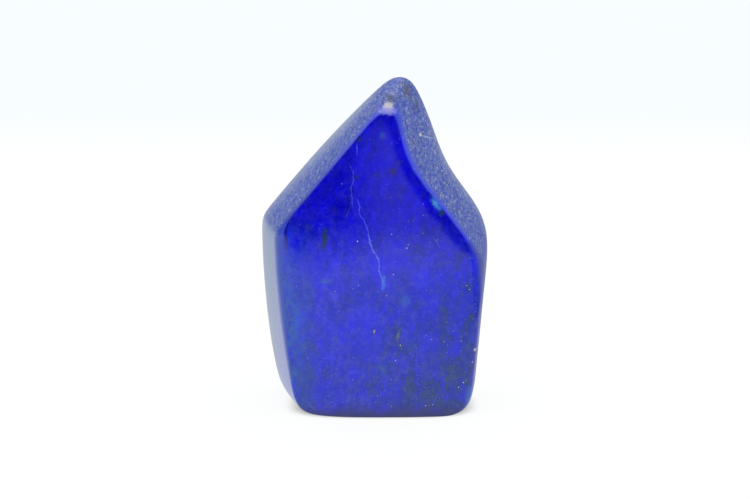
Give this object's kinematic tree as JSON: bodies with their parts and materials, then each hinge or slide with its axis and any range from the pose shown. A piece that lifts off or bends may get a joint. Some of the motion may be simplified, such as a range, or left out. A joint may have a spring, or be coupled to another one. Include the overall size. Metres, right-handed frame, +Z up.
{
  "type": "polished lapis lazuli free-form stone",
  "caption": "Self-standing free-form of polished lapis lazuli: a flat broad front, sloping shoulders rising to an off-centre peak, a rounded back and a flat foot to rest on.",
  "frame": {"origin": "on the flat foot, under the middle of the stone's outline", "axes": "+Z up to the peak, the broad polished front faces -Y, +X to the right as seen from the front"},
  "size_m": [0.0631, 0.0353, 0.0913],
  "materials": {
    "polished_lapis": "high polish over deep blue lazurite, with paler calcite veins and fine brassy pyrite specks"
  },
  "bodies": {
    "root": {"lapis_stone": "polished_lapis"}
  },
  "joints": []
}
